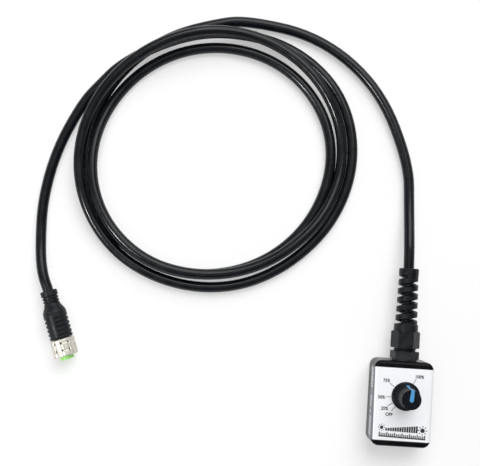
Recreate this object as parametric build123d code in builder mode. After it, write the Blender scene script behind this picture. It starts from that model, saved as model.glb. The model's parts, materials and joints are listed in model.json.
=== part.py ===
from build123d import *
import os
from math import cos, sin, tan, radians, degrees, pi

os.makedirs("parts", exist_ok=True)

# Enclosure
case_w = 35.0          # across the dial face
case_l = 50.0          # along the gland axis
case_h = 20.0          # back to face
wall = 2.0
lid_t = 2.0
corner_r = 4.5
face_r = 2.0
lip_h = 0.8            # locating rim of the back cover
lip_t = 1.2
fit = 0.1              # gap where one printed or moulded piece drops into another
post_r = 3.0
post_x = case_w / 2 - wall - 2.0
post_y = case_l / 2 - wall - 2.0
screw_r = 1.25
screw_head_r = 2.4
screw_len = 8.0

# Face film
label_t = 0.15
label_top = case_l / 2 - 4.0
label_bottom = 3.0 - case_l / 2
label_low = 4.5        # how near the back the film reaches on the sides

# Shared centre line of dial and gland
axis_x = 1.4

# Potentiometer and knob
dial_y = 4.8
face_z = case_h
pot_r = 8.2
pot_plate_t = 1.0
pot_top = case_h - wall
pot_h = 7.5
can_t = 0.5
bush_r = 3.5
bush_top = face_z + 5.5
shaft_r = 3.0
run = 0.05             # radial running clearance
lug_t = 0.6
lug_w = 2.2
lug_pitch = 5.0
skirt_r = 8.4
grip_r = 5.9
cap_r = 5.65
knob_low = face_z + label_t + 0.45
knob_top = face_z + 17.4
pointer_turn = -5.0    # rest angle, counter-clockwise from +Y
pointer_r = 1.2        # round inner end
pointer_from = -0.1    # middle of the round end, from the dial's axis
pointer_tip_w = 1.9
pointer_reach = grip_r + 0.7
inlay_t = 0.6

# Gland
gland_z = 10.0
hex_af = 15.0
gasket_t = 0.8
hex_t = 4.6
thread_r = 6.0
neck_r = 6.2
nut_low = case_l / 2 + gasket_t + hex_t + 2.0
nut_hex_l = 9.9
nut_ring_l = 3.9
nut_ring_r = 7.2
spiral_l = 29.8
collar_l = 4.0
collar_r = 5.9
spiral_bore = 3.45
slot_in = 1.1          # gap between turns of the rib at the bore
rib_in = 4.25          # rib width at the bore
rib_out = 2.85         # rib width at the outside
rib_bore = 3.6
rib_r = 5.0            # radius of the line the rib is swept along
lock_t = 4.5

# Cord
cord_r = 3.2
cord_z = cord_r
coil_c = (-119.0, 139.0)
coil_outer = (86.4, 82.9)
coil_inner = (69.4, 66.5)
coil_h = 12.4
coil_turn = 4.0

# Plug
plug_at = (-214.6, 52.3, 7.3)
plug_dir = Vector(0.3465, -0.938, 0).normalized()
plug_side = Vector(-plug_dir.Y, plug_dir.X, 0)
grip_end = 29.6
mould_r = 7.0
groove_from = 17.0
groove_pitch = 2.6
ring_nut_r = 7.3
ring_nut_l = 10.6
insert_r = 4.2
insert_end = grip_end + 0.2 + ring_nut_l + 2.1

nut_ring_low = nut_low + nut_hex_l
spiral_low = nut_ring_low + nut_ring_l
collar_low = spiral_low + spiral_l
gland_end = collar_low + collar_l
case_top = case_l / 2
hex_low = case_top + gasket_t
hex_top = hex_low + hex_t
lock_low = case_top - wall - lock_t
jacket_end = lock_low - 2.5


def along_y(y, turn=0.0):
    """Plane square to the gland axis at height y, its x turned about that axis."""
    return Plane(origin=(axis_x, y, gland_z),
                 x_dir=(cos(radians(turn)), 0, -sin(radians(turn))), z_dir=(0, 1, 0))


def along_plug(t):
    """Plane square to the plug's axis, t from its cord end."""
    return Plane(origin=Vector(*plug_at) + plug_dir * t, x_dir=plug_side, z_dir=plug_dir)


gland_section = Plane(origin=(axis_x, 0, gland_z), x_dir=(1, 0, 0), z_dir=(0, 0, 1))
gland_axis = Axis((axis_x, 0, gland_z), (0, 1, 0))
dial_section = Plane(origin=(axis_x, dial_y, 0), x_dir=(1, 0, 0), z_dir=(0, -1, 0))
dial_axis = Axis((axis_x, dial_y, 0), (0, 0, 1))
plug_section = Plane(origin=plug_at, x_dir=plug_side, z_dir=plug_side.cross(plug_dir))
plug_axis = Axis(plug_at, plug_dir)


def at_dial(z):
    return Plane(origin=(axis_x, dial_y, z), x_dir=(1, 0, 0), z_dir=(0, 0, 1))


# Enclosure body: one moulding, open at the back, four posts in its corners
with BuildPart() as enclosure_body:
    with BuildSketch(Plane.XY.offset(lid_t)):
        RectangleRounded(case_w, case_l, corner_r)
    extrude(amount=case_h - lid_t)
    fillet(enclosure_body.faces().sort_by(Axis.Z)[-1].edges(), face_r)
    with BuildSketch(Plane.XY.offset(lid_t)):
        RectangleRounded(case_w - 2 * wall, case_l - 2 * wall, corner_r - wall)
    extrude(amount=case_h - wall - lid_t, mode=Mode.SUBTRACT)
    with BuildSketch(Plane.XY.offset(lid_t + lip_h + fit)):
        with GridLocations(2 * post_x, 2 * post_y, 2, 2):
            Circle(post_r)
    extrude(amount=case_h - wall - lid_t - lip_h - fit)
    with BuildSketch(Plane.XY.offset(lid_t + lip_h + fit)):
        with GridLocations(2 * post_x, 2 * post_y, 2, 2):
            Circle(screw_r)
    extrude(amount=screw_len, mode=Mode.SUBTRACT)
    with BuildSketch(at_dial(case_h - wall)):
        Circle(bush_r + fit)
    extrude(amount=wall, mode=Mode.SUBTRACT)
    with BuildSketch(along_y(case_top - wall)):
        Circle(thread_r + fit)
    extrude(amount=wall, mode=Mode.SUBTRACT)
enclosure_body.part.label = "enclosure_body"
export_step(enclosure_body.part, "parts/enclosure_body.step")

# Back cover with a rim that drops inside the walls
with BuildPart() as enclosure_lid:
    with BuildSketch():
        RectangleRounded(case_w, case_l, corner_r)
    extrude(amount=lid_t)
    chamfer(enclosure_lid.faces().sort_by(Axis.Z)[0].edges(), 0.4)
    with BuildSketch(Plane.XY.offset(lid_t)):
        RectangleRounded(case_w - 2 * (wall + fit), case_l - 2 * (wall + fit), corner_r - wall - fit)
        RectangleRounded(case_w - 2 * (wall + fit + lip_t), case_l - 2 * (wall + fit + lip_t), 0.6,
                         mode=Mode.SUBTRACT)
    extrude(amount=lip_h)
    with Locations(*[Pos(x, y, 0) * Rot(180, 0, 0) for x in (-post_x, post_x) for y in (-post_y, post_y)]):
        CounterSinkHole(screw_r + 0.35, screw_head_r + fit, depth=lid_t + lip_h, counter_sink_angle=90)
enclosure_lid.part.label = "enclosure_lid"
export_step(enclosure_lid.part, "parts/enclosure_lid.step")

# Countersunk cover screws with a cross recess
with BuildPart() as lid_screws:
    with Locations(*[Pos(x, y, 0) for x in (-post_x, post_x) for y in (-post_y, post_y)]):
        Cone(screw_head_r, screw_r, screw_head_r - screw_r, align=(Align.CENTER, Align.CENTER, Align.MIN))
        Cylinder(screw_r, screw_len, align=(Align.CENTER, Align.CENTER, Align.MIN))
        Box(2.6, 0.6, 0.6, align=(Align.CENTER, Align.CENTER, Align.MIN), mode=Mode.SUBTRACT)
        Box(0.6, 2.6, 0.6, align=(Align.CENTER, Align.CENTER, Align.MIN), mode=Mode.SUBTRACT)
lid_screws.part.label = "lid_screws"
export_step(lid_screws.part, "parts/lid_screws.step")

# Printed film over the face and down both sides: a thin shell of the case's own outer shape
with BuildPart() as film_inside:
    with BuildSketch():
        RectangleRounded(case_w, case_l, corner_r)
    extrude(amount=case_h)
    fillet(film_inside.faces().sort_by(Axis.Z)[-1].edges(), face_r)

with BuildPart() as face_label:
    with BuildSketch():
        RectangleRounded(case_w + 2 * label_t, case_l + 2 * label_t, corner_r + label_t)
    extrude(amount=case_h + label_t)
    fillet(face_label.faces().sort_by(Axis.Z)[-1].edges(), face_r + label_t)
    add(film_inside.part, mode=Mode.SUBTRACT)
    with BuildSketch(Plane.XY.offset(label_low)):
        with Locations((0, label_bottom)):
            Rectangle(2 * case_w, label_top - label_bottom, align=(Align.CENTER, Align.MIN))
    extrude(amount=case_h, mode=Mode.INTERSECT)
    with BuildSketch(at_dial(case_h)):
        Circle(bush_r + fit)
    extrude(amount=label_t, mode=Mode.SUBTRACT)
face_label.part.label = "face_label"
export_step(face_label.part, "parts/face_label.step")

# Potentiometer front plate with its bushing
with BuildPart() as pot_cover:
    with BuildSketch(at_dial(pot_top - pot_plate_t)):
        Circle(pot_r)
    extrude(amount=pot_plate_t)
    with BuildSketch(at_dial(pot_top)):
        Circle(bush_r)
    extrude(amount=bush_top - pot_top)
    chamfer(pot_cover.faces().sort_by(Axis.Z)[-1].edges(), 0.4)
    with BuildSketch(at_dial(pot_top - pot_plate_t)):
        Circle(shaft_r + run)
    extrude(amount=bush_top - pot_top + pot_plate_t, mode=Mode.SUBTRACT)
pot_cover.part.label = "pot_cover"
export_step(pot_cover.part, "parts/pot_cover.step")

can_low = pot_top - pot_plate_t - pot_h + 1.0
board_low = can_low + 1.3
board_t = 1.2
lug_low = board_low - lug_t

# Metal can, closed below, notched where the lugs leave
with BuildPart() as pot_can:
    with BuildSketch(at_dial(can_low)):
        Circle(pot_r)
    extrude(amount=pot_top - pot_plate_t - can_low)
    fillet(pot_can.faces().sort_by(Axis.Z)[0].edges(), 0.4)
    with BuildSketch(at_dial(can_low + can_t)):
        Circle(pot_r - can_t)
    extrude(amount=pot_top, mode=Mode.SUBTRACT)
    with BuildSketch(at_dial(can_low + can_t)):
        with Locations((0, -pot_r)):
            Rectangle(2 * lug_pitch + lug_w + 1.0, 2 * pot_r - 6.0)
    extrude(amount=board_low - can_low - can_t, mode=Mode.SUBTRACT)
pot_can.part.label = "pot_can"
export_step(pot_can.part, "parts/pot_can.step")

# Board carrying the resistive ring
with BuildPart() as pot_track:
    with BuildSketch(at_dial(board_low)):
        Circle(pot_r - can_t)
        Circle(1.5, mode=Mode.SUBTRACT)
    extrude(amount=board_t)
    with BuildSketch(at_dial(board_low + board_t)):
        Circle(6.6)
        Circle(4.8, mode=Mode.SUBTRACT)
        with Locations((0, -6)):
            Rectangle(4.0, 5.0, mode=Mode.SUBTRACT)
    extrude(amount=0.05)
pot_track.part.label = "pot_track"
export_step(pot_track.part, "parts/pot_track.step")

# Three lugs under the board
with BuildPart() as pot_terminals:
    with BuildSketch(at_dial(lug_low)):
        with Locations(*[(k * lug_pitch, -4.6) for k in (-1, 0, 1)]):
            SlotOverall(10.8, lug_w, rotation=90, align=(Align.MAX, Align.CENTER))
        with Locations(*[(k * lug_pitch, -14.3) for k in (-1, 0, 1)]):
            Circle(0.5, mode=Mode.SUBTRACT)
    extrude(amount=lug_t)
pot_terminals.part.label = "pot_terminals"
export_step(pot_terminals.part, "parts/pot_terminals.step")

wiper_low = board_low + board_t + 0.35

# Rotor with two contact feet a hair above the track
with BuildPart() as pot_wiper:
    with BuildSketch(at_dial(wiper_low)):
        Circle(6.9)
        Circle(shaft_r, mode=Mode.SUBTRACT)
    extrude(amount=1.4)
    with BuildSketch(at_dial(wiper_low - 0.25)):
        with Locations((0, 5.7), (0, 4.2)):
            Circle(0.5)
    extrude(amount=0.25)
pot_wiper.part.label = "pot_wiper"
export_step(pot_wiper.part, "parts/pot_wiper.step")

# Splined, split shaft with a collar under the front plate
with BuildPart() as pot_shaft:
    with BuildSketch(at_dial(wiper_low)):
        Circle(shaft_r)
    extrude(amount=knob_top - 2.5 - wiper_low)
    chamfer(pot_shaft.faces().sort_by(Axis.Z)[-1].edges(), 0.4)
    with BuildSketch(at_dial(wiper_low + 1.4)):
        Circle(shaft_r + 1.0)
    extrude(amount=pot_top - pot_plate_t - run - wiper_low - 1.4)
    with BuildSketch(at_dial(bush_top + 2.0)):
        with PolarLocations(shaft_r, 18):
            Rectangle(0.3, 0.45)
        Rectangle(0.9, 2 * shaft_r)
    extrude(amount=knob_top, mode=Mode.SUBTRACT)
pot_shaft.part.label = "pot_shaft"
export_step(pot_shaft.part, "parts/pot_shaft.step")

washer_t = 0.5
washer_low = face_z + label_t
with BuildPart() as pot_washer:
    with BuildSketch(at_dial(washer_low)):
        Circle(5.2)
        Circle(bush_r + 0.05, mode=Mode.SUBTRACT)
    extrude(amount=washer_t)
pot_washer.part.label = "pot_washer"
export_step(pot_washer.part, "parts/pot_washer.step")

with BuildPart() as pot_nut:
    with BuildSketch(at_dial(washer_low + washer_t)):
        RegularPolygon(4.5, 6, major_radius=False)
        Circle(bush_r + 0.05, mode=Mode.SUBTRACT)
    extrude(amount=2.0)
    chamfer(pot_nut.faces().sort_by(Axis.Z)[-1].edges().filter_by(GeomType.CIRCLE), 0.2)
pot_nut.part.label = "pot_nut"
export_step(pot_nut.part, "parts/pot_nut.step")


def knob_outline(inset):
    """Half section of the knob, set in by inset."""
    Polyline((0, knob_low), (skirt_r - inset, knob_low), (skirt_r - inset, knob_low + 0.7 - inset))
    Spline((skirt_r - inset, knob_low + 0.7 - inset), (grip_r + 0.7 - inset, knob_low + 1.9 - inset / 2),
           (grip_r - inset, knob_low + 4.4), tangents=((-1, 0.25), (-0.02, 1)))
    Polyline((grip_r - inset, knob_low + 4.4), (cap_r - inset, knob_top - 0.45 - inset),
             (cap_r - 0.45 - inset, knob_top - inset), (0, knob_top - inset), (0, knob_low))


# Pale inlay: a thin skin of the knob's shape, kept only inside the pointer's outline
with BuildPart() as knob_pointer:
    with BuildSketch(dial_section):
        with BuildLine():
            knob_outline(0.0)
        make_face()
    revolve(axis=dial_axis)
    with BuildSketch(dial_section):
        with BuildLine():
            knob_outline(inlay_t)
        make_face()
    revolve(axis=dial_axis, mode=Mode.SUBTRACT)
    with BuildSketch(Plane(origin=(axis_x, dial_y, knob_low + 0.75),
                           x_dir=(cos(radians(pointer_turn)), sin(radians(pointer_turn)), 0),
                           z_dir=(0, 0, 1))):
        with BuildLine():
            Polyline((-pointer_tip_w / 2, pointer_reach), (-pointer_r, pointer_from), (pointer_r, pointer_from),
                     (pointer_tip_w / 2, pointer_reach), (-pointer_tip_w / 2, pointer_reach))
        make_face()
        with Locations((0, pointer_from)):
            Circle(pointer_r)
    extrude(amount=knob_top, mode=Mode.INTERSECT)
knob_pointer.part.label = "knob_pointer"
export_step(knob_pointer.part, "parts/knob_pointer.step")

# Skirted knob, hollow below to clear nut and bushing
with BuildPart() as knob:
    with BuildSketch(dial_section):
        with BuildLine():
            knob_outline(0.0)
        make_face()
    revolve(axis=dial_axis)
    with BuildSketch(at_dial(knob_low)):
        Circle(5.4)
    extrude(amount=2.4, mode=Mode.SUBTRACT)
    with BuildSketch(at_dial(knob_low)):
        Circle(bush_r + 0.3)
    extrude(amount=bush_top + 1.0 - knob_low, mode=Mode.SUBTRACT)
    with BuildSketch(at_dial(knob_low)):
        Circle(shaft_r)
    extrude(amount=knob_top - 2.2 - knob_low, mode=Mode.SUBTRACT)
    add(knob_pointer.part, mode=Mode.SUBTRACT)
knob.part.label = "knob"
export_step(knob.part, "parts/knob.step")

# Gland: gasket, threaded body with gripping fingers, locknut, rubber seal
with BuildPart() as gland_gasket:
    with BuildSketch(along_y(case_top)):
        Circle(hex_af / 2 - 0.1)
        Circle(thread_r, mode=Mode.SUBTRACT)
    extrude(amount=gasket_t)
gland_gasket.part.label = "gland_gasket"
export_step(gland_gasket.part, "parts/gland_gasket.step")

seal_r = 4.9
with BuildPart() as gland_body:
    with BuildSketch(along_y(hex_low, -19.5)):
        RegularPolygon(hex_af / 2, 6, major_radius=False)
    extrude(amount=hex_t)
    with BuildSketch(gland_section):
        with BuildLine():
            Polyline((0, hex_low), (hex_af * 0.555, hex_low), (hex_af * 0.585, hex_low + 0.2),
                     (hex_af * 0.585, hex_top - 0.2), (hex_af * 0.555, hex_top), (0, hex_top), (0, hex_low))
        make_face()
    revolve(axis=gland_axis, mode=Mode.INTERSECT)
    with BuildSketch(gland_section):
        with BuildLine():
            Polyline((0, lock_low - 1.0), (thread_r - 0.5, lock_low - 1.0), (thread_r, lock_low - 0.5),
                     (thread_r, hex_low), (thread_r, hex_top), (neck_r, hex_top), (neck_r, nut_low + 5.4),
                     (5.7, nut_low + 5.8), (5.5, nut_low + 9.8), (4.6, nut_low + 11.2),
                     (0, nut_low + 11.2), (0, lock_low - 1.0))
        make_face()
    revolve(axis=gland_axis)
    with BuildSketch(along_y(hex_low + 1.0)):
        Circle(seal_r)
    extrude(amount=nut_low + 9.8 - hex_low - 1.0, mode=Mode.SUBTRACT)
    with BuildSketch(along_y(lock_low - 1.0)):
        Circle(3.6)
    extrude(amount=60, mode=Mode.SUBTRACT)
    with BuildSketch(along_y(nut_low + 5.6)):
        with PolarLocations(5.0, 6):
            Rectangle(3.0, 0.8)
    extrude(amount=8.0, mode=Mode.SUBTRACT)
gland_body.part.label = "gland_body"
export_step(gland_body.part, "parts/gland_body.step")

with BuildPart() as gland_locknut:
    with BuildSketch(along_y(lock_low)):
        RegularPolygon(7.0, 6, major_radius=False)
        Circle(thread_r + 0.05, mode=Mode.SUBTRACT)
    extrude(amount=lock_t)
gland_locknut.part.label = "gland_locknut"
export_step(gland_locknut.part, "parts/gland_locknut.step")

with BuildPart() as gland_seal:
    with BuildSketch(along_y(hex_low + 1.0)):
        Circle(seal_r)
        Circle(cord_r, mode=Mode.SUBTRACT)
    extrude(amount=nut_low + 9.6 - hex_low - 1.0)
gland_seal.part.label = "gland_seal"
export_step(gland_seal.part, "parts/gland_seal.step")

# Spiral nut: hex grip, plain ring, a helical rib that tapers towards the collar, collar
spiral_pitch = slot_in + rib_in
rib_low = spiral_low - 2.0
rib_top = collar_low + 1.9
rib_end_turn = 137.0 + 360 * (rib_top - collar_low + 1.0) / spiral_pitch
rib_start_turn = rib_end_turn - 360 * (rib_top - rib_low) / spiral_pitch


def outward(turn):
    return Vector(sin(radians(turn)), 0, cos(radians(turn)))


rib_path = Plane(origin=(axis_x, rib_low, gland_z), x_dir=outward(rib_start_turn), z_dir=(0, 1, 0)) * Helix(
    spiral_pitch, rib_top - rib_low, rib_r)

with BuildPart() as spiral_rib:
    for at, turn, outer_r in ((0, rib_start_turn, nut_ring_r - 0.55), (1, rib_end_turn, collar_r - 0.2)):
        with BuildSketch(Plane(origin=rib_path @ at, x_dir=outward(turn), z_dir=rib_path % at)):
            with BuildLine():
                Polyline((rib_bore - rib_r, -rib_in / 2), (outer_r - rib_r, -rib_out / 2),
                         (outer_r - rib_r, rib_out / 2), (rib_bore - rib_r, rib_in / 2),
                         (rib_bore - rib_r, -rib_in / 2))
            make_face()
    sweep(path=rib_path, is_frenet=True, multisection=True)

with BuildPart() as spiral_nut:
    with BuildSketch(along_y(nut_low, -8)):
        RegularPolygon(hex_af / 2, 6, major_radius=False)
    extrude(amount=nut_hex_l)
    with BuildSketch(gland_section):
        with BuildLine():
            Polyline((0, nut_low), (8.4, nut_low), (8.6, nut_low + 0.2), (8.6, nut_ring_low - 0.5),
                     (7.9, nut_ring_low), (0, nut_ring_low), (0, nut_low))
        make_face()
    revolve(axis=gland_axis, mode=Mode.INTERSECT)
    with BuildSketch(gland_section):
        with BuildLine():
            Polyline((0, nut_ring_low - 1), (nut_ring_r, nut_ring_low - 1), (nut_ring_r, spiral_low),
                     (nut_ring_r - 0.4, spiral_low + 0.4), (0, spiral_low + 0.4), (0, nut_ring_low - 1))
        make_face()
        with BuildLine():
            Polyline((0, collar_low), (collar_r, collar_low), (collar_r, gland_end - 0.4),
                     (collar_r - 0.4, gland_end), (0, gland_end), (0, collar_low))
        make_face()
    revolve(axis=gland_axis)
    add(spiral_rib.part)
    with BuildSketch(along_y(collar_low - 2.2)):
        Circle(collar_r - 0.1)
        with BuildLine():
            Polyline((0, 0), *[(9 * sin(radians(turn)), -9 * cos(radians(turn))) for turn in (-15, 50, 115)],
                     (0, 0))
        make_face(mode=Mode.INTERSECT)
    extrude(amount=3.0)
    with BuildSketch(gland_section):
        with BuildLine():
            Polyline((0, nut_low), (neck_r + 0.1, nut_low), (neck_r + 0.1, nut_low + 8.6),
                     (4.8, nut_low + 11.3), (spiral_bore, nut_low + 12.4), (spiral_bore, gland_end),
                     (0, gland_end), (0, nut_low))
        make_face()
    revolve(axis=gland_axis, mode=Mode.SUBTRACT)
spiral_nut.part.label = "spiral_nut"
export_step(spiral_nut.part, "parts/spiral_nut.step")

# Straight stretch of cord held by the gland
with BuildPart() as cable_in_gland:
    with BuildSketch(along_y(jacket_end)):
        Circle(cord_r)
    extrude(amount=gland_end - jacket_end)
cable_in_gland.part.label = "cable_in_gland"
export_step(cable_in_gland.part, "parts/cable_in_gland.step")

# Conductors from the jacket's end, under the can, to the lugs
wire_r = 0.7
wire_z = lug_low - wire_r
wire_low = can_low - 1.6
for label, from_x, from_z, lug in (("wire_red", -1.5, gland_z - 1.2, -1), ("wire_white", 0.0, gland_z - 2.1, 0),
                                   ("wire_black", 1.5, gland_z - 1.2, 1)):
    low = min(from_z, wire_low)
    lug_x = axis_x + lug * lug_pitch
    bend = [(axis_x + from_x, jacket_end - 3.0, low)] if lug else []
    with BuildPart() as wire:
        with BuildLine() as wire_path:
            FilletPolyline((axis_x + from_x, jacket_end, from_z), *bend, (lug_x, dial_y - 8.5, low),
                           (lug_x, dial_y - 11.0, wire_z), (lug_x, dial_y - 14.6, wire_z), radius=0.9)
        with BuildSketch(Plane(origin=wire_path.line @ 0, z_dir=wire_path.line % 0)):
            Circle(wire_r)
        sweep(path=wire_path.line)
    wire.part.label = label
    export_step(wire.part, "parts/" + label + ".step")

with BuildPart() as wire_sleeves:
    with BuildSketch(Plane(origin=(axis_x, dial_y - 12.2, (lug_low + lug_t + wire_z - wire_r) / 2),
                           x_dir=(1, 0, 0), z_dir=(0, -1, 0))):
        with Locations(*[(k * lug_pitch, 0) for k in (-1, 0, 1)]):
            RectangleRounded(lug_w + 0.9, lug_t + 2 * wire_r + 0.9, 0.8)
            Rectangle(lug_w + 0.1, lug_t + 2 * wire_r + 0.1, mode=Mode.SUBTRACT)
    extrude(amount=3.2)
wire_sleeves.part.label = "wire_sleeves"
export_step(wire_sleeves.part, "parts/wire_sleeves.step")


def cord_bends(points):
    """Bend radius at each inner point: 0.45 of the shorter run over the tangent of half the turn."""
    radii = []
    for before, here, after in zip(points, points[1:], points[2:]):
        first = Vector(*here) - Vector(*before)
        second = Vector(*after) - Vector(*here)
        turn = radians(first.get_angle(second))
        radii.append(0.45 * min(first.length, second.length) / tan(turn / 2))
        print("turn", round(degrees(turn), 1), "radius", round(radii[-1], 1), "run", round(first.length, 1))
    return radii


gland_route = [(axis_x, gland_end, gland_z), (axis_x - 0.5, gland_end + 14.5, gland_z), (0.6, 117.0, cord_z),
               (-1.8, 145.0, cord_z), (-22.4, 190.0, cord_z), (-60.0, 219.5, cord_z),
               (-107.0, 227.7, cord_z), (-150.0, 213.0, cord_z)]
plug_route = [plug_at, tuple(Vector(*plug_at) - plug_dir * 11.5), (-222.6, 80.5, cord_z),
              (-223.6, 108.0, cord_z), (-217.1, 139.0, cord_z), (-202.8, 170.8, cord_z),
              (-176.0, 196.6, cord_z)]

with BuildPart() as cable_gland_lead:
    with BuildLine() as gland_path:
        FilletPolyline(*gland_route, radius=cord_bends(gland_route))
    with BuildSketch(along_y(gland_end)):
        Circle(cord_r)
    sweep(path=gland_path.line)
print("gland lead volume ratio", cable_gland_lead.part.volume / (pi * cord_r ** 2 * gland_path.wire().length))
cable_gland_lead.part.label = "cable_gland_lead"
export_step(cable_gland_lead.part, "parts/cable_gland_lead.step")

with BuildPart() as cable_plug_lead:
    with BuildLine() as plug_path:
        FilletPolyline(*plug_route, radius=cord_bends(plug_route))
    with BuildSketch(Plane(origin=plug_at, x_dir=plug_side, z_dir=-plug_dir)):
        Circle(cord_r)
    sweep(path=plug_path.line)
print("plug lead volume ratio", cable_plug_lead.part.volume / (pi * cord_r ** 2 * plug_path.wire().length))
cable_plug_lead.part.label = "cable_plug_lead"
export_step(cable_plug_lead.part, "parts/cable_plug_lead.step")

# Outer shape of the three laid turns
with BuildPart() as cable_coil:
    with BuildSketch():
        with Locations(coil_c):
            Ellipse(*coil_outer, rotation=coil_turn)
            Ellipse(*coil_inner, rotation=coil_turn, mode=Mode.SUBTRACT)
    extrude(amount=coil_h)
    fillet(cable_coil.edges(), 4.5)
cable_coil.part.label = "cable_coil"
export_step(cable_coil.part, "parts/cable_coil.step")

# Cuts for the grip: five grooves, left out over the smooth panels above and below
with BuildPart() as grip_cuts:
    with BuildSketch(plug_section):
        with Locations(*[(mould_r, groove_from + groove_pitch * k) for k in range(5)]):
            Rectangle(1.0, 1.2)
    revolve(axis=plug_axis)
    with BuildSketch(along_plug(0)):
        Rectangle(7.4, 40)
    extrude(amount=40, mode=Mode.SUBTRACT)

with BuildPart() as plug_overmould:
    with BuildSketch(plug_section):
        with BuildLine():
            Polyline((0, 0), (5.05, 0), (5.05, 2.7), (4.2, 2.7), (4.2, 3.7), (4.9, 3.7), (4.9, 6.3),
                     (4.2, 6.3), (4.2, 7.3), (4.7, 7.3), (4.7, 8.6), (6.3, 11.8), (mould_r, 13.4),
                     (mould_r, grip_end - 0.5), (mould_r - 0.5, grip_end), (0, grip_end), (0, 0))
        make_face()
    revolve(axis=plug_axis)
    add(grip_cuts.part, mode=Mode.SUBTRACT)
plug_overmould.part.label = "plug_overmould"
export_step(plug_overmould.part, "parts/plug_overmould.step")

lip_end = grip_end + 2.5
with BuildPart() as plug_carrier:
    with BuildSketch(plug_section):
        with BuildLine():
            Polyline((insert_r, grip_end), (4.75, grip_end), (4.75, lip_end + 0.1), (5.3, lip_end + 0.1),
                     (5.3, lip_end + 0.9), (insert_r, lip_end + 0.9), (insert_r, grip_end))
        make_face()
    revolve(axis=plug_axis)
plug_carrier.part.label = "plug_carrier"
export_step(plug_carrier.part, "parts/plug_carrier.step")

# Coupling nut: ten flutes and two grooves outside, thread inside
ring_low = grip_end + 0.2
ring_high = ring_low + ring_nut_l
with BuildPart() as coupling_nut:
    with BuildSketch(plug_section):
        with BuildLine():
            Polyline((4.83, ring_low), (ring_nut_r - 0.4, ring_low), (ring_nut_r, ring_low + 0.4),
                     (ring_nut_r, ring_high - 0.5), (ring_nut_r - 0.5, ring_high), (5.9, ring_high),
                     (5.45, ring_high - 0.5), (5.45, lip_end), (4.83, lip_end), (4.83, ring_low))
        make_face()
    revolve(axis=plug_axis)
    with BuildSketch(plug_section):
        with Locations(*[(ring_nut_r, ring_low + y) for y in (2.5, 6.9)]):
            Rectangle(0.7, 0.9)
        with Locations(*[(5.45, lip_end + 2.4 + k) for k in range(5)]):
            RegularPolygon(0.45, 4)
    revolve(axis=plug_axis, mode=Mode.SUBTRACT)
    with BuildSketch(along_plug(ring_low)):
        with PolarLocations(ring_nut_r + 0.55, 10):
            Circle(1.15)
    extrude(amount=ring_nut_l, mode=Mode.SUBTRACT)
coupling_nut.part.label = "coupling_nut"
export_step(coupling_nut.part, "parts/coupling_nut.step")

socket_at = 2.5
with BuildPart() as contact_insert:
    with BuildSketch(along_plug(grip_end)):
        Circle(insert_r)
    extrude(amount=insert_end - grip_end)
    fillet(contact_insert.faces().sort_by(plug_axis)[-1].edges(), 0.4)
    with BuildSketch(along_plug(insert_end)):
        with PolarLocations(socket_at, 4, start_angle=45):
            Circle(0.95)
        with Locations((0, insert_r)):
            Rectangle(1.4, 1.5)
    extrude(amount=-7.5, mode=Mode.SUBTRACT)
contact_insert.part.label = "contact_insert"
export_step(contact_insert.part, "parts/contact_insert.step")

with BuildPart() as contact_sockets:
    with BuildSketch(along_plug(insert_end - 7.5)):
        with PolarLocations(socket_at, 4, start_angle=45):
            Circle(0.95)
            Circle(0.55, mode=Mode.SUBTRACT)
    extrude(amount=7.2)
contact_sockets.part.label = "contact_sockets"
export_step(contact_sockets.part, "parts/contact_sockets.step")

with BuildPart() as plug_oring:
    with BuildSketch(plug_section):
        with Locations((insert_r + 0.5, lip_end + 1.4)):
            Circle(0.5)
    revolve(axis=plug_axis)
plug_oring.part.label = "plug_oring"
export_step(plug_oring.part, "parts/plug_oring.step")
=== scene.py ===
import json
from math import cos, pi, radians, sin

import bpy
import numpy as np
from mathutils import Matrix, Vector


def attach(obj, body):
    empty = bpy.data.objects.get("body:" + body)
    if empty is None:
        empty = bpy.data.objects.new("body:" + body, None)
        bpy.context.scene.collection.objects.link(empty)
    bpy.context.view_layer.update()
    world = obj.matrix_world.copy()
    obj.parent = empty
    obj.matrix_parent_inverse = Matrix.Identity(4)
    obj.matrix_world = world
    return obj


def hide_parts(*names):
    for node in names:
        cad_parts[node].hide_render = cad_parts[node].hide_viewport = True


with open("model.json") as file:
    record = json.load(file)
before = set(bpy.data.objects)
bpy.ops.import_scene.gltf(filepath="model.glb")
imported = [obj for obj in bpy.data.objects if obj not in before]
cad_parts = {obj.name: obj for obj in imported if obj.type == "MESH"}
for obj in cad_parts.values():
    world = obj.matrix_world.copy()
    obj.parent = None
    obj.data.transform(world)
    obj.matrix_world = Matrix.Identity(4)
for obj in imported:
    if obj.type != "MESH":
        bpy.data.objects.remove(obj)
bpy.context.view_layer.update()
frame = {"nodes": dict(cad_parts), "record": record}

nodes = frame["nodes"]
scene = bpy.context.scene
MM = 0.001

# Sizes shared with the solid parts, in millimetres. PLUG_AT is where the cord goes into the
# plug, and GRIP_END, RING_LOW and RING_HIGH are places along its axis from there.
CASE_W, CASE_H = 35.0, 20.0
FILM_T = 0.15
FACE = CASE_H + FILM_T
DIAL = np.array([1.4, 4.8])
GLAND_X, GLAND_Z, GLAND_END = 1.4, 10.0, 80.0
NECK_R, NECK_LOW, NECK_HIGH = 6.2, 30.4, 32.4
CORD_R = 3.2
PLUG_AT = np.array([-214.6, 52.3, 7.3])
PLUG_DIR = np.array([0.3465, -0.938, 0.0]) / np.hypot(0.3465, 0.938)
PLUG_SIDE = np.array([-PLUG_DIR[1], PLUG_DIR[0], 0.0])
UP = np.array([0.0, 0.0, 1.0])
GRIP_END = 29.6
RING_LOW, RING_HIGH, RING_R = 29.8, 40.4, 7.3


# Camera and lamps, in metres and degrees

CAMERA_AT = (-0.1086, 0.0666, 0.5371)
CAMERA_TURN = (2.983, -0.932, 3.797)
SENSOR_MM, FOCAL_MM = 36.0, 65.7


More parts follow.
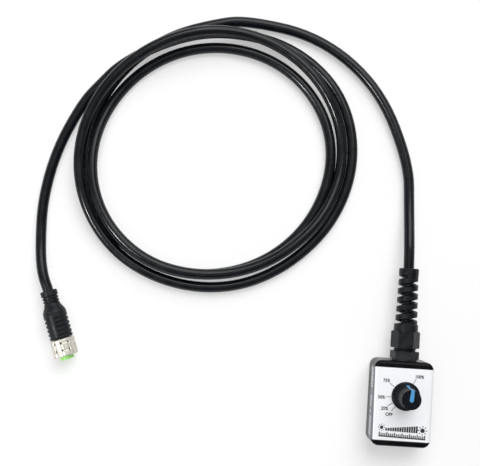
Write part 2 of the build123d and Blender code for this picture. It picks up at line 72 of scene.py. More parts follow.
def add_camera():
    """Camera at the height and turn from which the part is seen, looking almost straight down."""
    data = bpy.data.cameras.new("camera")
    data.sensor_width = SENSOR_MM
    data.sensor_fit = "HORIZONTAL"
    data.lens = FOCAL_MM
    data.clip_start, data.clip_end = 0.02, 20.0
    camera = bpy.data.objects.new("camera", data)
    camera.location = CAMERA_AT
    camera.rotation_euler = [radians(angle) for angle in CAMERA_TURN]
    scene.collection.objects.link(camera)
    scene.camera = camera


def add_lamp(name, place, aim, size, watts, shadow=True):
    """Square area lamp at place, turned to face aim. One without a shadow adds highlights and
    light that nothing blocks."""
    data = bpy.data.lights.new(name, "AREA")
    data.shape = "SQUARE"
    data.size = size
    data.energy = watts
    data.use_shadow = shadow
    lamp = bpy.data.objects.new(name, data)
    lamp.location = place
    lamp.rotation_mode = "QUATERNION"
    way = Vector(np.array(aim) - np.array(place))
    lamp.rotation_quaternion = way.to_track_quat("-Z", "Y")
    scene.collection.objects.link(lamp)


add_camera()


# Mesh helpers

def smoothstep(low, high, x):
    """0 below low and 1 above high. Between them it is three times the square of the share of
    the way, less twice its cube."""
    s = np.clip((x - low) / (high - low), 0, 1)
    return s * s * (3 - 2 * s)


def add_mesh(name, points, faces, material, body="unit", smooth=True):
    """One piece from points in millimetres and index faces, riding on its body."""
    mesh = bpy.data.meshes.new(name)
    mesh.from_pydata((np.asarray(points) * MM).tolist(), [], [list(map(int, f)) for f in faces])
    mesh.polygons.foreach_set("use_smooth", np.full(len(mesh.polygons), smooth))
    mesh.materials.append(material)
    mesh.update()
    piece = bpy.data.objects.new(name, mesh)
    scene.collection.objects.link(piece)
    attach(piece, body)
    return piece


def wrap_faces(rows, around, closed_rows=False):
    """Quads of a grid of rows by around points whose second direction runs in a ring."""
    i = np.arange(rows if closed_rows else rows - 1)[:, None]
    j = np.arange(around)[None, :]
    k = (j + 1) % around
    n = (i + 1) % rows
    quads = [i * around + j, i * around + k, n * around + k, n * around + j]
    return np.stack(quads, -1).reshape(-1, 4)


def capped(points):
    """Points and faces of a tube given as rows of rings, its ends closed by fans to their
    middles."""
    rows, around = points.shape[:2]
    flat = points.reshape(-1, 3)
    ends = np.array([points[0].mean(0), points[-1].mean(0)])
    j = np.arange(around)
    k = (j + 1) % around
    first, last = rows * around, rows * around + 1
    fan_low = np.stack([np.full(around, first), k, j], -1)
    fan_high = np.stack([np.full(around, last), first - around + j, first - around + k], -1)
    walls = wrap_faces(rows, around).tolist()
    return np.vstack([flat, ends]), walls + fan_low.tolist() + fan_high.tolist()


def plug_points(along, radius, angle):
    """Points round the plug's axis: along it, at a radius and an angle measured from the top."""
    up = (radius * np.cos(angle))[..., None] * UP
    aside = (radius * np.sin(angle))[..., None] * PLUG_SIDE
    return PLUG_AT + along[..., None] * PLUG_DIR + up + aside


# Node groups shared by the finishes

def new_group(name, inputs, outputs):
    """Shader node group with named float inputs and outputs."""
    group = bpy.data.node_groups.new(name, "ShaderNodeTree")
    for label, value in inputs:
        socket = group.interface.new_socket(label, in_out="INPUT", socket_type="NodeSocketFloat")
        socket.default_value = value
    for label in outputs:
        group.interface.new_socket(label, in_out="OUTPUT", socket_type="NodeSocketFloat")
    return group, group.nodes.new("NodeGroupInput"), group.nodes.new("NodeGroupOutput")


def math_node(tree, operation, a, b=None, c=None, clamp=False):
    """Math node whose inputs are numbers or sockets."""
    node = tree.nodes.new("ShaderNodeMath")
    node.operation = operation
    node.use_clamp = clamp
    for i, value in enumerate((a, b, c)):
        if value is None:
            continue
        if isinstance(value, (int, float)):
            node.inputs[i].default_value = value
        else:
            tree.links.new(value, node.inputs[i])
    return node.outputs[0]


def ramp(tree, value, low, high, out_low=0.0, out_high=1.0):
    """Smooth step of value from low to high, put out between out_low and out_high."""
    node = tree.nodes.new("ShaderNodeMapRange")
    node.interpolation_type = "SMOOTHSTEP"
    tree.links.new(value, node.inputs["Value"])
    numbers = {"From Min": low, "From Max": high, "To Min": out_low, "To Max": out_high}
    for label, number in numbers.items():
        node.inputs[label].default_value = number
    return node.outputs["Result"]


def build_moulded_grain():
    """Grain of a moulded surface: fine spark texture as a height, and slow patches."""
    scales = [("Grain Scale", 2500.0), ("Patch Scale", 90.0)]
    group, given, out = new_group("moulded_grain", scales, ["Height", "Patches"])
    place = group.nodes.new("ShaderNodeTexCoord")
    for label, socket, detail in (("Grain Scale", "Height", 2.0), ("Patch Scale", "Patches", 4.0)):
        noise = group.nodes.new("ShaderNodeTexNoise")
        noise.inputs["Detail"].default_value = detail
        noise.inputs["Roughness"].default_value = 0.55
        group.links.new(place.outputs["Object"], noise.inputs["Vector"])
        group.links.new(given.outputs[label], noise.inputs["Scale"])
        group.links.new(noise.outputs["Fac"], out.inputs[socket])
    return group


def build_fine_dust():
    """Sparse pale specks, as a mask that is 0 on most of the surface."""
    group, given, out = new_group("fine_dust", [("Scale", 900.0), ("Amount", 0.2)], ["Mask"])
    place = group.nodes.new("ShaderNodeTexCoord")
    cells = group.nodes.new("ShaderNodeTexVoronoi")
    cells.feature = "F1"
    group.links.new(place.outputs["Object"], cells.inputs["Vector"])
    group.links.new(given.outputs["Scale"], cells.inputs["Scale"])
    spot = ramp(group, cells.outputs["Distance"], 0.05, 0.16, 1.0, 0.0)
    pick = group.nodes.new("ShaderNodeSeparateColor")
    group.links.new(cells.outputs["Color"], pick.inputs["Color"])
    few = math_node(group, "LESS_THAN", pick.outputs["Red"], given.outputs["Amount"])
    group.links.new(math_node(group, "MULTIPLY", spot, few), out.inputs["Mask"])
    return group


moulded_grain = build_moulded_grain()
fine_dust = build_fine_dust()
DUST = (0.35, 0.34, 0.33)


class Finish:
    """One material: a Principled shader with colour, roughness and bump from the groups."""

    def __init__(self, name, colour, rough, metal=0.0, **shader):
        self.material = bpy.data.materials.new(name)
        self.material.use_nodes = True
        self.tree = self.material.node_tree
        self.shader = self.tree.nodes["Principled BSDF"]
        self.shader.inputs["Metallic"].default_value = metal
        for label, value in shader.items():
            self.shader.inputs[label.replace("_", " ")].default_value = value
        rgb = self.tree.nodes.new("ShaderNodeRGB")
        rgb.outputs[0].default_value = (*colour, 1.0)
        self.colour = rgb.outputs[0]
        self.rough = rough

    def link(self, a, b):
        """Joins output a to input b."""
        self.tree.links.new(a, b)

    def group(self, tree, **values):
        """One use of a shared group, with numbers on its inputs."""
        node = self.tree.nodes.new("ShaderNodeGroup")
        node.node_tree = tree
        for label, value in values.items():
            node.inputs[label.replace("_", " ")].default_value = value
        return node

    def blend(self, mask, colour, share=1.0):
        """Paints colour over what is there, by the mask and share."""
        mix = self.tree.nodes.new("ShaderNodeMix")
        mix.data_type = "RGBA"
        self.link(math_node(self.tree, "MULTIPLY", mask, share, clamp=True), mix.inputs[0])
        self.link(self.colour, mix.inputs[6])
        mix.inputs[7].default_value = (*colour, 1.0)
        self.colour = mix.outputs[2]

    def place(self):
        """The X, Y and Z of the point on the piece, in metres."""
        where = self.tree.nodes.new("ShaderNodeTexCoord")
        split = self.tree.nodes.new("ShaderNodeSeparateXYZ")
        self.link(where.outputs["Object"], split.inputs[0])
        return split.outputs

    def grain(self, paler, scale, patches, depth, rough_swing=0.25, shade_swing=0.15):
        """Fine bump, uneven gloss and patches of a paler shade. depth is in millimetres."""
        node = self.group(moulded_grain, Grain_Scale=scale, Patch_Scale=patches)
        self.roughness = ramp(self.tree, node.outputs["Patches"], 0.3, 0.7,
                              self.rough * (1 - rough_swing), self.rough * (1 + rough_swing))
        shade = ramp(self.tree, node.outputs["Patches"], 0.35, 0.65, 0.0, shade_swing)
        self.blend(shade, paler)
        self.height = node.outputs["Height"]
        self.depth = depth
        return self

    def dust(self, scale, amount, share):
        """Pale specks in a share of the cells, given by amount, painted on thinly."""
        node = self.group(fine_dust, Scale=scale, Amount=amount)
        self.blend(node.outputs["Mask"], DUST, share)
        return self

    def done(self):
        """Links colour, roughness and bump to the shader and gives the material."""
        self.link(self.colour, self.shader.inputs["Base Color"])
        self.link(self.roughness, self.shader.inputs["Roughness"])
        bump = self.tree.nodes.new("ShaderNodeBump")
        bump.inputs["Strength"].default_value = 1.0
        bump.inputs["Distance"].default_value = self.depth * MM
        self.link(self.height, bump.inputs["Height"])
        self.link(bump.outputs["Normal"], self.shader.inputs["Normal"])
        return self.material


def case_finish():
    """Black moulded case, half gloss, with a fine spark texture."""
    f = Finish("case_plastic", (0.0022, 0.0023, 0.0032), 0.25, Specular_IOR_Level=0.10)
    f.grain((0.014, 0.014, 0.016), scale=3200, patches=120,
            depth=0.006, rough_swing=0.2, shade_swing=0.2)
    return f.dust(scale=1100, amount=0.05, share=0.2).done()


def knob_finish():
    """Satin black knob, with a finer grain than the case."""
    f = Finish("knob_plastic", (0.0036, 0.0050, 0.0075), 0.38, Specular_IOR_Level=0.11)
    f.grain((0.011, 0.014, 0.018), scale=3600, patches=200,
            depth=0.006, rough_swing=0.2, shade_swing=0.25)
    return f.dust(scale=1300, amount=0.05, share=0.15).done()


def pointer_finish():
    """Pale blue inlay, satin, slightly paler in patches."""
    f = Finish("pointer_blue", (0.05, 0.26, 0.52), 0.42, Specular_IOR_Level=0.35)
    f.grain((0.17, 0.45, 0.70), scale=3000, patches=260,
            depth=0.004, rough_swing=0.2, shade_swing=0.22)
    return f.done()


def gland_finish():
    """Black nylon: a soft sheen, uneven in patches, with a little dust."""
    f = Finish("gland_nylon", (0.0044, 0.0052, 0.0068), 0.36, Specular_IOR_Level=0.21)
    f.grain((0.024, 0.025, 0.028), scale=2600, patches=240,
            depth=0.01, rough_swing=0.25, shade_swing=0.3)
    return f.dust(scale=900, amount=0.08, share=0.2).done()


def jacket_finish():
    """Smooth black soft plastic of the cord, glossier than the moulded pieces."""
    f = Finish("cord_jacket", (0.0036, 0.0048, 0.0064), 0.22, Specular_IOR_Level=0.30)
    f.grain((0.012, 0.014, 0.018), scale=1500, patches=130,
            depth=0.004, rough_swing=0.3, shade_swing=0.25)
    return f.dust(scale=500, amount=0.05, share=0.15).done()


def mould_finish():
    """Satin black overmoulding of the plug."""
    f = Finish("plug_plastic", (0.0044, 0.0058, 0.0082), 0.44, Specular_IOR_Level=0.26)
    f.grain((0.018, 0.021, 0.026), scale=2300, patches=240,
            depth=0.012, rough_swing=0.25, shade_swing=0.25)
    return f.dust(scale=800, amount=0.06, share=0.2).done()


# Metres: band of distances from the plug's axis, and half the length, in which the pits' floors get
# painted shade
PIT_INNER, PIT_OUTER, PIT_HALF = 0.00562, 0.0066, 0.00355


def painted_pit_shade(f):
    """Mask of painted shade, 1 on the floors of the coupling ring's pits: nearer the plug's axis
    than the flutes and further out than the thread, and between the ring's two ends. The distance
    from the axis is the root of the squared distance from a point on it less the squared way along
    it."""
    where = f.tree.nodes.new("ShaderNodeTexCoord")
    away = f.tree.nodes.new("ShaderNodeVectorMath")
    away.operation = "SUBTRACT"
    f.link(where.outputs["Object"], away.inputs[0])
    away.inputs[1].default_value = PLUG_AT * MM
    along = f.tree.nodes.new("ShaderNodeVectorMath")
    along.operation = "DOT_PRODUCT"
    f.link(away.outputs["Vector"], along.inputs[0])
    along.inputs[1].default_value = PLUG_DIR
    whole = f.tree.nodes.new("ShaderNodeVectorMath")
    whole.operation = "LENGTH"
    f.link(away.outputs["Vector"], whole.inputs[0])
    t, far = along.outputs["Value"], whole.outputs["Value"]
    square = math_node(f.tree, "MULTIPLY", far, far)
    less = math_node(f.tree, "SUBTRACT", square, math_node(f.tree, "MULTIPLY", t, t))
    radius = math_node(f.tree, "SQRT", less)
    deep = math_node(f.tree, "MULTIPLY",
                     ramp(f.tree, radius, PIT_OUTER + 0.0002, PIT_OUTER - 0.0002),
                     ramp(f.tree, radius, PIT_INNER - 0.00001, PIT_INNER + 0.00001))
    aside = math_node(f.tree, "SUBTRACT", t, (RING_LOW + RING_HIGH) / 2 * MM)
    middle = math_node(f.tree, "ABSOLUTE", aside)
    between = ramp(f.tree, middle, PIT_HALF + 0.00005, PIT_HALF - 0.00005)
    return math_node(f.tree, "MULTIPLY", deep, between)


def nickel_finish():
    """Satin nickel plate, slightly warm and uneven in patches, with painted shade on the floors of
    pits.
    """
    f = Finish("nickel_plate", (0.74, 0.72, 0.65), 0.48, metal=1.0)
    f.grain((0.62, 0.58, 0.50), scale=1500, patches=420,
            depth=0.006, rough_swing=0.3, shade_swing=0.5)
    # Painted shade: the floors of the ring's pits are painted near black, standing in for the shade
    # in them.
    f.blend(painted_pit_shade(f), (0.05, 0.047, 0.042), 0.9)
    return f.done()


def insert_finish():
    """Bright green moulded contact carrier."""
    f = Finish("insert_green", (0.38, 0.86, 0.21), 0.35)
    f.grain((0.46, 0.90, 0.30), scale=2600, patches=250,
            depth=0.006, rough_swing=0.2, shade_swing=0.3)
    return f.done()


# Metres on the film: where grey sides and the black border take over from white
GREY_BELOW, GREY_LEFT_OF, GREY_LEAN = 0.0186, -0.01693, 0.0157
BLACK_BELOW, BLACK_UNDER_Y = 0.00965, -0.0214


def film_finish():
    """Printed film: white over the face, grey down the sides, a black border low down and
    along its lower edge, and a fine satin texture. The grey begins on the face at a line that
    leans a little."""
    f = Finish("label_film", (0.88, 0.89, 0.915), 0.40, Specular_IOR_Level=0.4)
    f.grain((0.91, 0.915, 0.925), scale=2800, patches=60,
            depth=0.003, rough_swing=0.15, shade_swing=0.3)
    x, y, z = f.place()
    across = math_node(f.tree, "MULTIPLY_ADD", y, GREY_LEAN, x)
    sides = math_node(f.tree, "MAXIMUM",
                      ramp(f.tree, z, GREY_BELOW + 0.0002, GREY_BELOW - 0.0002),
                      ramp(f.tree, across, GREY_LEFT_OF + 0.00005, GREY_LEFT_OF - 0.00005))
    f.blend(sides, (0.17, 0.175, 0.205))
    border = math_node(f.tree, "MAXIMUM",
                       ramp(f.tree, z, BLACK_BELOW + 0.00015, BLACK_BELOW - 0.00015),
                       ramp(f.tree, y, BLACK_UNDER_Y + 0.0001, BLACK_UNDER_Y - 0.0001))
    f.blend(border, (0.006, 0.006, 0.007))
    return f.done()


def plain_finish(name, colour, rough, metal=0.0, paler=None):
    """Finish of the small hidden pieces and of the inks."""
    f = Finish(name, colour, rough, metal)
    lighter = paler or tuple(min(1.0, c * 1.35 + 0.01) for c in colour)
    f.grain(lighter, scale=2500, patches=260, depth=0.008, shade_swing=0.4)
    return f.done()


finishes = {
    "case_plastic": case_finish(),
    "knob_plastic": knob_finish(),
    "pointer_blue": pointer_finish(),
    "gland_nylon": gland_finish(),
    "cord_jacket": jacket_finish(),
    "plug_plastic": mould_finish(),
    "nickel_plate": nickel_finish(),
    "insert_green": insert_finish(),
    "label_film": film_finish(),
    "screw_steel": plain_finish("screw_steel", (0.10, 0.10, 0.105), 0.35, 1.0),
    "zinc_plate": plain_finish("zinc_plate", (0.62, 0.62, 0.60), 0.32, 1.0),
    "resin_board": plain_finish("resin_board", (0.30, 0.15, 0.07), 0.55),
    "tinned_brass": plain_finish("tinned_brass", (0.72, 0.70, 0.62), 0.3, 1.0),
    "rotor_plastic": plain_finish("rotor_plastic", (0.03, 0.03, 0.03), 0.5),
    "shaft_metal": plain_finish("shaft_metal", (0.70, 0.70, 0.70), 0.3, 1.0),
    "gasket_rubber": plain_finish("gasket_rubber", (0.012, 0.012, 0.012), 0.7),
    "seal_rubber": plain_finish("seal_rubber", (0.014, 0.014, 0.014), 0.65),
    "wire_red": plain_finish("wire_red", (0.50, 0.02, 0.02), 0.35),
    "wire_white": plain_finish("wire_white", (0.78, 0.78, 0.76), 0.35),
    "wire_black": plain_finish("wire_black", (0.015, 0.015, 0.015), 0.35),
    "sleeve_plastic": plain_finish("sleeve_plastic", (0.02, 0.02, 0.02), 0.5),
    "contact_gold": plain_finish("contact_gold", (0.83, 0.60, 0.22), 0.25, 1.0),
}
ink = plain_finish("printed_ink", (0.02, 0.02, 0.025), 0.5, paler=(0.04, 0.04, 0.045))
dial_ink = plain_finish("dial_ink", (0.018, 0.021, 0.03), 0.5, paler=(0.04, 0.044, 0.055))
pale_ink = plain_finish("pale_ink", (0.74, 0.75, 0.77), 0.5, paler=(0.82, 0.82, 0.84))

slot_of = {row["node"]: row["material_slot"] for row in frame["record"]["subparts"]}
for name, node in nodes.items():
    node.data.materials.clear()
    node.data.materials.append(finishes[slot_of[name]])


# The cord: one line from gland to plug, laid in a coil of three turns and a bit

COIL_MIDDLE = np.array([-121.8, 137.9])
COIL_FROM, COIL_TO, STEP = 93.9, 1219.0, 15.0
# Distance from the coil's middle at angles in degrees that run on from turn to turn
RADIUS_AT = {90: 84.5, 120: 79.3, 150: 77.1, 195: 76.5, 240: 72.5, 285: 68.5, 315: 68.8,
             345: 70.8, 375: 73.7, 405: 73.1, 450: 70.2, 480: 69.5, 510: 70.3, 540: 72.2,
             570: 73.3, 600: 72.0, 630: 69.4, 650: 69.5, 675: 71.2, 705: 76.3, 735: 80.8,
             765: 80.6, 795: 79.7, 820: 77.1, 855: 76.1, 885: 79.3, 915: 80.7, 945: 80.4,
             975: 77.7, 1005: 77.2, 1035: 78.0, 1065: 82.8, 1095: 87.4, 1110: 88.1,
             1140: 84.1, 1170: 78.1, 1200: 76.6, 1230: 81.9}
# Where a turn climbs onto others: the angles of its start, top, end of the top and foot, and
# how high it climbs
HUMPS = ((505, 555, 672, 728, 6.4), (724, 769, 905, 955, 6.4), (790, 820, 855, 890, 6.3),
         (1150, 1180, 1222, 1252, 6.4))


def coil_points():
    """Control points of the coil: the radius follows a cubic between its known values, whose slope
    at each is that of the line through its neighbours, and the height is the cord's radius plus
    humps where a turn lies over others."""
    angle = np.arange(COIL_FROM, COIL_TO, STEP)
    known = np.array(list(RADIUS_AT), float)
    radii = np.array(list(RADIUS_AT.values()))
    slope = np.gradient(radii, known)
    i = np.clip(np.searchsorted(known, angle, side="right") - 1, 0, len(known) - 2)
    run = known[i + 1] - known[i]
    s = (angle - known[i]) / run
    radius = ((2 * s ** 3 - 3 * s ** 2 + 1) * radii[i] + (s ** 3 - 2 * s ** 2 + s) * run * slope[i]
              + (3 * s ** 2 - 2 * s ** 3) * radii[i + 1] + (s ** 3 - s ** 2) * run * slope[i + 1])
    radius /= 0.75 + 0.25 * cos(radians(STEP))
    height = np.full(len(angle), CORD_R)
    for rise, top, hold, fall, lift in HUMPS:
        height += lift * smoothstep(rise, top, angle) * (1 - smoothstep(hold, fall, angle))
    turn = np.radians(angle)
    x = COIL_MIDDLE[0] + radius * np.cos(turn)
    y = COIL_MIDDLE[1] + radius * np.sin(turn)
    return np.stack([x, y, height], -1)


# Control points before and after the coil
gland_lead = np.array([(1.2, GLAND_END - 1, GLAND_Z), (1.0, GLAND_END + 7, GLAND_Z),
                       (0.7, GLAND_END + 14.5, GLAND_Z), (0.7, 117.0, CORD_R),
                       (-1.1, 145.0, CORD_R), (-21.8, 190.0, CORD_R),
                       (-60.0, 219.3, CORD_R), (-107.0, 226.8, CORD_R)])
plug_lead = np.array([(-191.9, 180.4, 7.4), (-202.8, 168.8, 3.9), (-216.7, 139.0, CORD_R),
                      (-223.0, 108.0, CORD_R), (-222.4, 80.5, CORD_R), (-219.3, 63.1, PLUG_AT[2]),
                      tuple(PLUG_AT), tuple(PLUG_AT + 2.5 * PLUG_DIR)])


def add_cord():
    """The whole cord as one smooth curve of the second degree through its control points."""
    points = np.vstack([gland_lead, coil_points(), plug_lead])
    data = bpy.data.curves.new("cord", "CURVE")
    data.dimensions = "3D"
    data.bevel_depth = CORD_R * MM
    data.bevel_resolution = 8
    data.resolution_u = data.render_resolution_u = 8
    data.use_fill_caps = True
    line = data.splines.new("NURBS")
    line.points.add(len(points) - 1)
    line.points.foreach_set("co", np.hstack([points * MM, np.ones((len(points), 1))]).ravel())
    line.order_u = 3
    line.use_endpoint_u = True
    line.use_smooth = True
    data.materials.append(finishes["cord_jacket"])
    cord = bpy.data.objects.new("cord", data)
    scene.collection.objects.link(cord)
    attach(cord, "unit")
    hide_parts("cable_gland_lead", "cable_coil", "cable_plug_lead")
    return cord


cord = add_cord()


# Plug, with places in millimetres along its axis from where the cord goes in

MOULD_R, RIB_R = 7.0, 4.8            # grip, and rings of the strain relief
SLOTS_AT, SLOT_HALF = (3.7, 5.6, 7.4), 0.18
SLOT_DEEP, SLOT_DEEPER = 0.55, 0.8   # all round, and more at the sides
COLLAR_END, COLLAR_STEP = 3.2, 0.28  # the first ring is thicker
END_ROUND, ENTRY_DROP, FRONT_DROP = 0.7, 0.45, 0.75
FLARE_FROM, FLARE_TO = 8.0, 13.8
GROOVES, GROOVE_FROM, GROOVE_PITCH = 5, 17.2, 2.58
GROOVE_DEEP, GROOVE_RISE = 1.25, 0.75
PANEL_TURN = radians(-24)            # from straight up
PANEL_FROM, PANEL_TO, PANEL_HALF, PANEL_STEP = 10.6, 28.2, 2.4, 0.28


def add_overmould():
    """Grip body as a radius over length and angle: rings on the strain relief, a flare, then
    grooves across both sides that stop at a raised smooth panel above and below."""
    along = np.unique(np.concatenate([np.linspace(0, 9, 110), np.linspace(9, 14, 24),
                                      np.linspace(14, 28.4, 150), np.linspace(28.4, GRIP_END, 16)]))
    turn = np.linspace(0, 2 * pi, 168, endpoint=False)
    t, a = np.meshgrid(along, turn, indexing="ij")
    across = np.abs(np.sin(a - PANEL_TURN)) * MOULD_R
    slots = sum(smoothstep(0.25, 0.05, np.abs(t - at) - SLOT_HALF) for at in SLOTS_AT)
    aside = smoothstep(0.1, 0.5, -np.cos(2 * (a - PANEL_TURN)))
    rings = RIB_R - (SLOT_DEEP + SLOT_DEEPER * aside) * slots
    rings = rings + COLLAR_STEP * smoothstep(COLLAR_END + 0.4, COLLAR_END, t)
    rings = rings - ENTRY_DROP * smoothstep(END_ROUND, 0.0, t) ** 2
    body = MOULD_R - FRONT_DROP * smoothstep(END_ROUND, 0.0, GRIP_END - t)
    radius = rings + (body - rings) * smoothstep(FLARE_FROM, FLARE_TO, t)
    places = [GROOVE_FROM + GROOVE_PITCH * k for k in range(GROOVES)]
    groove = sum(smoothstep(0.52, 0.27, np.abs(t - at)) for at in places)
    beside = smoothstep(3.0, 3.4, across)
    radius = radius - groove * beside * (GROOVE_DEEP - GROOVE_RISE * smoothstep(3.6, 6.9, across))
    panel = smoothstep(PANEL_HALF + 0.5, PANEL_HALF, across)
    panel = panel * smoothstep(PANEL_FROM, PANEL_FROM + 1.8, t - across * 0.5)
    panel = panel * smoothstep(PANEL_TO + 0.7, PANEL_TO, t)
    widest = MOULD_R + 0.2 * smoothstep(13.0, 15.0, t)
    radius = np.minimum(radius + PANEL_STEP * panel, widest)
    points, faces = capped(plug_points(t, radius, a))
    piece = add_mesh("plug_grip", points, faces, finishes["plug_plastic"])
    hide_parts("plug_overmould")
    return piece


FLUTES, FLUTE_MIDDLE, FLUTE_CUT = 10, 7.75, 0.74
PIT_ROWS, ROW_DEEP, PIT_DEEP = (2.5, 6.9), 0.07, 1.2
THREAD_R, THREAD_DEEP, BORE_R = 5.43, 0.16, 4.83


def add_coupling_ring():
    """Coupling nut as a closed section carried round the axis: flutes outside that are arcs
    about middles just beyond it, two shallow grooves with a pit where each crosses a flute,
    and a fine thread inside."""
    low, high = RING_LOW, RING_HIGH
    wall = np.linspace(low + 0.7, high - 0.7, 110)
    outer_t = np.concatenate([[low, low, low + 0.3, low + 0.5], wall,
                              [high - 0.5, high - 0.15, high]])
    outer_r = np.concatenate([[BORE_R, RING_R - 1.0, RING_R - 0.35, RING_R],
                              np.full(len(wall), RING_R),
                              [RING_R, RING_R - 0.25, RING_R - 0.55]])
    thread_t = np.linspace(high - 0.6, low + 2.4, 60)
    thread_r = THREAD_R + THREAD_DEEP * np.abs(((thread_t - low) % 1.0) - 0.5) * 2
    t = np.concatenate([outer_t, [high, high - 0.5], thread_t, [low + 2.3]])
    r = np.concatenate([outer_r, [5.95, 5.6], thread_r, [BORE_R]])
    around = 240
    turn = np.linspace(0, 2 * pi, around, endpoint=False)
    tt, aa = np.meshgrid(t, turn, indexing="ij")
    rr = np.repeat(r[:, None], around, 1)
    off = (aa + pi / FLUTES) % (2 * pi / FLUTES) - pi / FLUTES
    inside = FLUTE_CUT ** 2 - (FLUTE_MIDDLE * np.sin(off)) ** 2
    arc = FLUTE_MIDDLE * np.cos(off) - np.sqrt(np.maximum(inside, 0))
    flute = np.where(inside > 0, arc, 2 * RING_R)
    outside = (np.arange(len(t)) > 0) & (np.arange(len(t)) < len(outer_t))
    groove = sum(smoothstep(0.62, 0.36, np.abs(tt - low - at)) for at in PIT_ROWS)
    fluted = np.minimum(rr - ROW_DEEP * groove, flute)
    pit = groove * smoothstep(0.105, 0.062, np.abs(off))
    rr = np.where(outside[:, None], fluted - PIT_DEEP * pit, rr)
    points = plug_points(tt, rr, aa)
    faces = wrap_faces(len(t), around, closed_rows=True)
    piece = add_mesh("coupling_ring", points.reshape(-1, 3), faces.tolist(),
                     finishes["nickel_plate"], body="coupling_ring")
    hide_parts("coupling_nut")
    return piece


overmould = add_overmould()
coupling = add_coupling_ring()


# Thread on the gland's neck

NECK_PITCH, NECK_DEEP = 1.5, 0.45


def add_neck_thread():
    """Rounded screw thread: the radius rises and falls once per pitch along the neck, and
    moves on by one pitch in a turn."""
    t = np.linspace(NECK_LOW, NECK_HIGH, 40)
    turn = np.linspace(0, 2 * pi, 96, endpoint=False)
    tt, aa = np.meshgrid(t, turn, indexing="ij")
    wave = np.abs(((tt / NECK_PITCH - aa / (2 * pi)) % 1.0) - 0.5) * 2
    radius = NECK_R + 0.02 + NECK_DEEP * smoothstep(0.15, 0.85, wave)
    points = np.stack([GLAND_X + radius * np.sin(aa), tt, GLAND_Z + radius * np.cos(aa)], -1)
    points, faces = capped(points)
    add_mesh("neck_thread", points, faces, finishes["gland_nylon"])


add_neck_thread()


# Print on the film: dial marks, numbers, a dimming scale and marks on the side

PRINT_LOW, PRINT_HIGH = FACE - 0.01, FACE + 0.025


def flat_strips(rows):
    """Corners and faces of flat four-sided strips, given by their two ends and width."""
    rows = np.array(rows, float)
    a, b, w = rows[:, 0:2], rows[:, 2:4], rows[:, 4:5]
    way = (b - a) / np.linalg.norm(b - a, axis=1, keepdims=True)
    side = np.stack([-way[:, 1], way[:, 0]], -1) * w / 2
    corners = np.stack([a - side, b - side, b + side, a + side], 1).reshape(-1, 2)
    return corners, np.arange(len(corners)).reshape(-1, 4).tolist()


def disc(middle, radius, sides=32):
    """Corners of a flat round spot and its one face."""
    turn = np.linspace(0, 2 * pi, sides, endpoint=False)
    rim = np.array(middle) + radius * np.stack([np.cos(turn), np.sin(turn)], -1)
    return rim, [list(range(sides))]


def sun(middle, radius, rays):
    """A spot with eight short rays."""
    middle = np.array(middle, float)
    parts = [disc(middle, radius)]
    turn = np.arange(8) * pi / 4
    way = np.stack([np.cos(turn), np.sin(turn)], -1)
    start = radius * 1.45
    inner, outer = middle + way * start, middle + way * (start + rays)
    parts.append(flat_strips(np.hstack([inner, outer, np.full((8, 1), radius * 0.5)])))
    return parts


def gather(parts):
    """One set of corners and faces from several."""
    corners, faces, base = [], [], 0
    for points, polygons in parts:
        corners.append(points)
        faces += [[i + base for i in p] for p in polygons]
        base += len(points)
    return np.vstack(corners), faces


def raised(points, faces, low, high):
    """A flat drawing given thickness: the same outline below and above, and walls between."""
    n = len(points)
    bottom = np.hstack([points, np.full((n, 1), low)])
    top = np.hstack([points, np.full((n, 1), high)])
    edges = dict.fromkeys((a, b) for face in faces for a, b in zip(face, face[1:] + face[:1]))
    walls = [[a, b, b + n, a + n] for a, b in edges if (b, a) not in edges]
    ends = [f[::-1] for f in faces] + [[i + n for i in f] for f in faces]
    return np.vstack([bottom, top]), ends + walls


def word(text, middle, height, squeeze, boldness):
    """Flat outline of a short word, centred on middle, with letters of the given height."""
    data = bpy.data.curves.new(text, "FONT")
    data.body = text
    data.align_x = "CENTER"
    data.resolution_u = 3
    data.offset = boldness
    holder = bpy.data.objects.new(text, data)
    scene.collection.objects.link(holder)
    bpy.context.view_layer.update()
    graph = bpy.context.evaluated_depsgraph_get()
    mesh = bpy.data.meshes.new_from_object(holder.evaluated_get(graph))
    points = np.zeros(len(mesh.vertices) * 3)
    mesh.vertices.foreach_get("co", points)
    points = points.reshape(-1, 3)[:, :2]
    faces = [list(p.vertices) for p in mesh.polygons]
    bpy.data.objects.remove(holder)
    bpy.data.meshes.remove(mesh)
    low, high = points.min(0), points.max(0)
    points = (points - (low + high) / 2) * height / (high[1] - low[1])
    points[:, 0] *= squeeze
    return points + np.array(middle), faces


TICK_FROM, TICK_TO, TICK_W = 8.6, 12.0, 0.34
WORD_HEIGHT, WORD_SQUEEZE, WORD_BOLDNESS = 2.05, 0.92, 0.036
# Word, its middle on the face, and the angle of its tick, clockwise from straight up
DIAL_MARKS = (("OFF", (-7.77, -6.31), -138.5), ("25%", (-10.61, -3.0), -121.0),
              ("50%", (-12.75, 3.45), -95.5), ("75%", (-10.26, 13.36), -53.8),
              ("100%", (9.23, 16.55), 28.9))


def add_dial_print():
    """Ticks and words round the knob."""
    parts = []
    for text, middle, angle in DIAL_MARKS:
        way = np.array([sin(radians(angle)), cos(radians(angle))])
        tick = np.concatenate([DIAL + way * TICK_FROM, DIAL + way * TICK_TO, [TICK_W]])
        parts.append(flat_strips([tick]))
        parts.append(word(text, middle, WORD_HEIGHT, WORD_SQUEEZE, WORD_BOLDNESS))
    points, faces = gather(parts)
    points, faces = raised(points, faces, PRINT_LOW, PRINT_HIGH)
    add_mesh("dial_print", points, faces, dial_ink, smooth=False)


